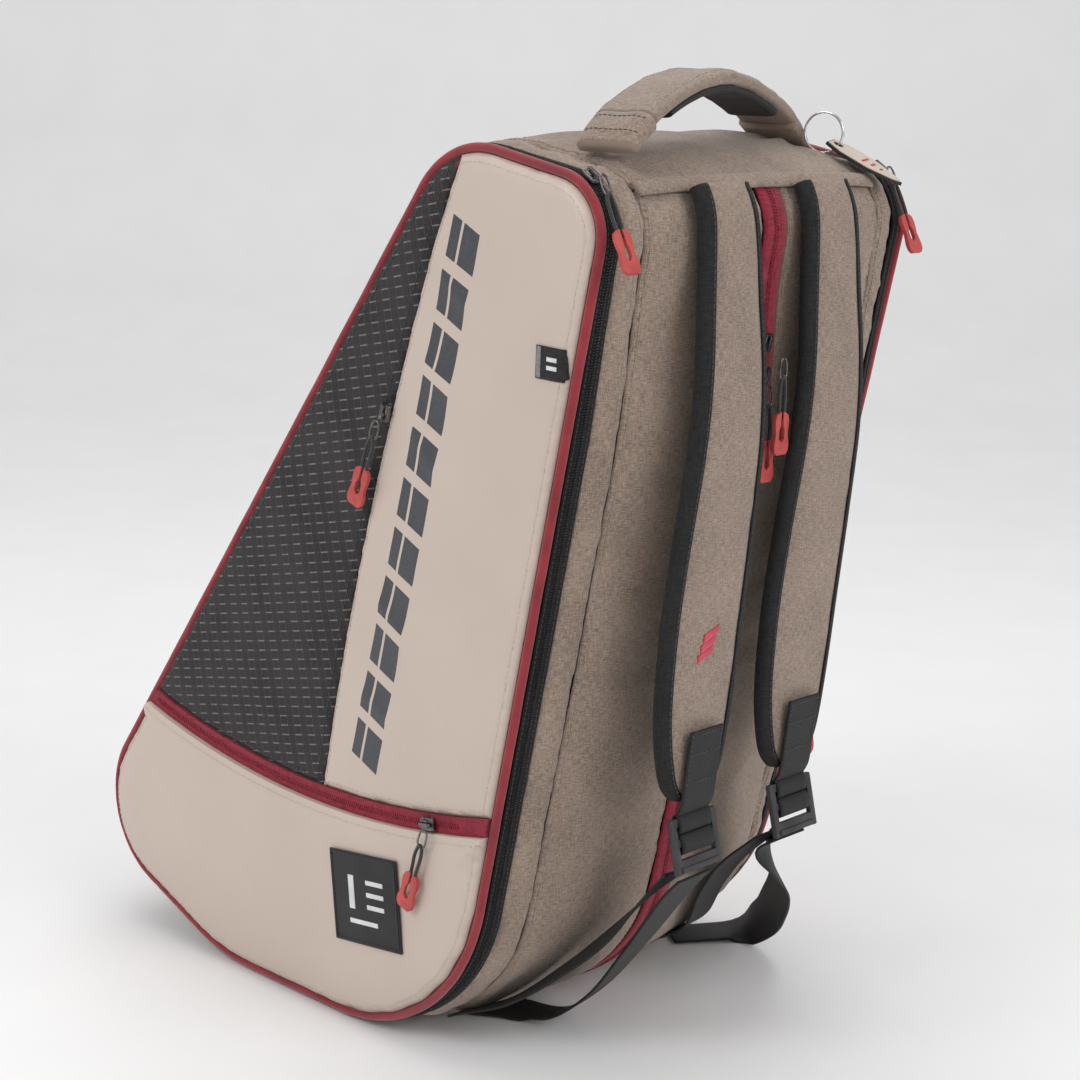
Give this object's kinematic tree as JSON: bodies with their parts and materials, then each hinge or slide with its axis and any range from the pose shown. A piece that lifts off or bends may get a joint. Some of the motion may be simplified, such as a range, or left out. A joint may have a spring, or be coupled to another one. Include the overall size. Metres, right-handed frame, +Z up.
{
  "type": "racket tournament bag",
  "caption": "Padded racket bag with zipped outer racket compartments, a middle compartment, padded shoulder straps and a carry handle.",
  "frame": {"origin": "on the floor, under the flat of the base, in the middle of the thickness", "axes": "+Z up, +X towards the shoulder straps, Y across the thickness with the near racket door at -Y"},
  "size_m": [0.4928, 0.3174, 0.6106],
  "materials": {
    "black_plastic": "fine satin",
    "black_tape": "zip tape",
    "cream_skin": "smooth satin coated cloth",
    "dark_metal": "dark nickel",
    "lining": "plain lining over stiffener",
    "mesh_cloth": "air mesh",
    "piping": "ribbed cloth piping",
    "red_rubber": "satin",
    "red_tape": "zip tape",
    "ripstop": "ripstop weave",
    "rubber": "matt",
    "steel": "bright wire",
    "tan_cloth": "heather woven cloth over foam",
    "webbing": "ribbed webbing"
  },
  "bodies": {
    "shell": {"base_panel": "tan_cloth", "centre_zip": "red_tape", "divider_far": "lining", "divider_near": "lining", "front_panel": "tan_cloth", "gusset_far": "tan_cloth", "gusset_near": "tan_cloth", "handle_foot_far": "tan_cloth", "handle_foot_near": "tan_cloth", "lower_webbing_far": "webbing", "lower_webbing_near": "webbing", "strap_panel_far": "tan_cloth", "strap_panel_near": "tan_cloth", "top_panel": "tan_cloth", "zip_tape_far": "black_tape", "zip_tape_near": "black_tape"},
    "near_door": {"door_near": "lining", "door_zip_tape_near": "black_tape", "piping_near": "piping", "cream_panel_near": "cream_skin", "ripstop_panel_near": "ripstop", "lower_pocket_near": "cream_skin", "pocket_zip_near": "red_tape", "rubber_patch": "rubber", "side_tab": "black_tape"},
    "far_door": {"door_far": "lining", "door_zip_tape_far": "black_tape", "piping_far": "piping", "cream_panel_far": "cream_skin", "ripstop_panel_far": "ripstop", "lower_pocket_far": "cream_skin", "pocket_zip_far": "red_tape"},
    "handle": {"carry_handle": "tan_cloth", "handle_pad": "mesh_cloth"},
    "near_strap": {"strap_pad_near": "tan_cloth", "strap_webbing_near": "webbing", "webbing_tail_near": "webbing"},
    "near_adjuster": {"adjuster_near": "black_plastic"},
    "far_strap": {"strap_pad_far": "tan_cloth", "strap_webbing_far": "webbing", "webbing_tail_far": "webbing"},
    "far_adjuster": {"adjuster_far": "black_plastic"},
    "top_near_slide": {"top_near_slider": "dark_metal"},
    "top_near_tab": {"top_near_pull": "red_rubber"},
    "top_far_slide": {"top_far_slider": "dark_metal"},
    "top_far_tab": {"top_far_pull": "red_rubber"},
    "low_far_slide": {"low_far_slider": "dark_metal"},
    "low_far_tab": {"low_far_pull": "red_rubber"},
    "centre_upper_slide": {"centre_upper_slider": "dark_metal"},
    "centre_upper_tab": {"centre_upper_pull": "red_rubber"},
    "centre_lower_slide": {"centre_lower_slider": "dark_metal"},
    "centre_lower_tab": {"centre_lower_pull": "red_rubber"},
    "flap_near_slide": {"flap_near_slider": "dark_metal"},
    "flap_near_tab": {"flap_near_pull": "red_rubber"},
    "pocket_near_slide": {"pocket_near_slider": "dark_metal"},
    "pocket_near_tab": {"pocket_near_pull": "red_rubber"},
    "pocket_far_slide": {"pocket_far_slider": "dark_metal"},
    "pocket_far_tab": {"pocket_far_pull": "red_rubber"},
    "ring": {"tag_ring": "steel"},
    "hang_tag": {"tag": "cream_skin"}
  },
  "joints": [
    {"name": "near_door_hinge", "type": "hinge", "parent": "shell", "child": "near_door", "pos_m": [-0.21336, -0.139, 0.128], "axis": [-0.5858, 0, -0.8104], "range_deg": [0, 110]},
    {"name": "far_door_hinge", "type": "hinge", "parent": "shell", "child": "far_door", "pos_m": [-0.21336, 0.139, 0.128], "axis": [0.5858, 0, 0.8104], "range_deg": [0, 110]},
    {"name": "handle_flop", "type": "hinge", "parent": "shell", "child": "handle", "pos_m": [0.176, -0.003, 0.58299], "axis": [-0.2029, 0.9792, 0], "range_deg": [-35, 35]},
    {"name": "near_strap_swing", "type": "hinge", "parent": "shell", "child": "near_strap", "pos_m": [0.23252, -0.053, 0.54641], "axis": [0, -1, 0], "range_deg": [0, 15]},
    {"name": "near_adjuster_turn", "type": "hinge", "parent": "near_strap", "child": "near_adjuster", "pos_m": [0.23261, -0.053, 0.17085], "axis": [0, -1, 0], "range_deg": [-8, 20]},
    {"name": "far_strap_swing", "type": "hinge", "parent": "shell", "child": "far_strap", "pos_m": [0.23252, 0.043, 0.54641], "axis": [0, -1, 0], "range_deg": [0, 15]},
    {"name": "far_adjuster_turn", "type": "hinge", "parent": "far_strap", "child": "far_adjuster", "pos_m": [0.23261, 0.043, 0.17085], "axis": [0, -1, 0], "range_deg": [-8, 20]},
    {"name": "top_near_travel", "type": "hinge", "parent": "shell", "child": "top_near_slide", "pos_m": [0.18933, -0.1353, 0.51918], "axis": [0, 1, 0], "range_deg": [0, 18]},
    {"name": "top_near_pull_lift", "type": "hinge", "parent": "top_near_slide", "child": "top_near_tab", "pos_m": [0.21735, -0.1353, 0.55393], "axis": [0, -1, 0], "range_deg": [0, 90]},
    {"name": "top_far_travel", "type": "hinge", "parent": "shell", "child": "top_far_slide", "pos_m": [0.18933, 0.1353, 0.51918], "axis": [0, 1, 0], "range_deg": [0, 18]},
    {"name": "top_far_pull_lift", "type": "hinge", "parent": "top_far_slide", "child": "top_far_tab", "pos_m": [0.21735, 0.1353, 0.55393], "axis": [0, -1, 0], "range_deg": [0, 90]},
    {"name": "low_far_travel", "type": "slide", "parent": "shell", "child": "low_far_slide", "axis": [0.1942, 0, 0.981], "range_m": [0, 0.2]},
    {"name": "low_far_pull_lift", "type": "hinge", "parent": "low_far_slide", "child": "low_far_tab", "pos_m": [0.17884, 0.1353, 0.21415], "axis": [0, -1, 0], "range_deg": [0, 120]},
    {"name": "centre_upper_travel", "type": "slide", "parent": "shell", "child": "centre_upper_slide", "axis": [0.1942, 0, 0.981], "range_m": [0, 0.045]},
    {"name": "centre_upper_pull_lift", "type": "hinge", "parent": "centre_upper_slide", "child": "centre_upper_tab", "pos_m": [0.24441, 0, 0.44613], "axis": [0, -1, 0], "range_deg": [0, 120]},
    {"name": "centre_lower_travel", "type": "hinge", "parent": "shell", "child": "centre_lower_slide", "pos_m": [-1.58113, 0, 0.59882], "axis": [0, 1, 0], "range_deg": [0, 9.5]},
    {"name": "centre_lower_pull_lift", "type": "hinge", "parent": "centre_lower_slide", "child": "centre_lower_tab", "pos_m": [0.23451, 0, 0.42796], "axis": [0, -1, 0], "range_deg": [0, 8]},
    {"name": "flap_near_travel", "type": "slide", "parent": "near_door", "child": "flap_near_slide", "axis": [0.2355, 0, 0.9719], "range_m": [-0.19, 0]},
    {"name": "flap_near_pull_lift", "type": "hinge", "parent": "flap_near_slide", "child": "flap_near_tab", "pos_m": [0.06118, -0.1556, 0.40014], "axis": [-0.9404, 0, 0.3401], "range_deg": [0, 120]},
    {"name": "pocket_near_travel", "type": "hinge", "parent": "near_door", "child": "pocket_near_slide", "pos_m": [0.005, -0.1499, 0.798], "axis": [0, 1, 0], "range_deg": [0, 20]},
    {"name": "pocket_near_pull_lift", "type": "hinge", "parent": "pocket_near_slide", "child": "pocket_near_tab", "pos_m": [0.109, -0.1565, 0.15458], "axis": [-0.9536, 0, 0.3011], "range_deg": [0, 120]},
    {"name": "pocket_far_travel", "type": "hinge", "parent": "far_door", "child": "pocket_far_slide", "pos_m": [0.005, 0.1499, 0.798], "axis": [0, 1, 0], "range_deg": [0, 20]},
    {"name": "pocket_far_pull_lift", "type": "hinge", "parent": "pocket_far_slide", "child": "pocket_far_tab", "pos_m": [0.109, 0.1565, 0.15458], "axis": [0.9536, 0, -0.3011], "range_deg": [0, 120]},
    {"name": "ring_lift", "type": "hinge", "parent": "shell", "child": "ring", "pos_m": [0.17661, 0.10014, 0.574], "axis": [0.309, -0.9511, 0], "range_deg": [0, 28]},
    {"name": "tag_lift", "type": "hinge", "parent": "ring", "child": "hang_tag", "pos_m": [0.19761, 0.10696, 0.56597], "axis": [0.2305, -0.9682, -0.0974], "range_deg": [0, 35]}
  ]
}
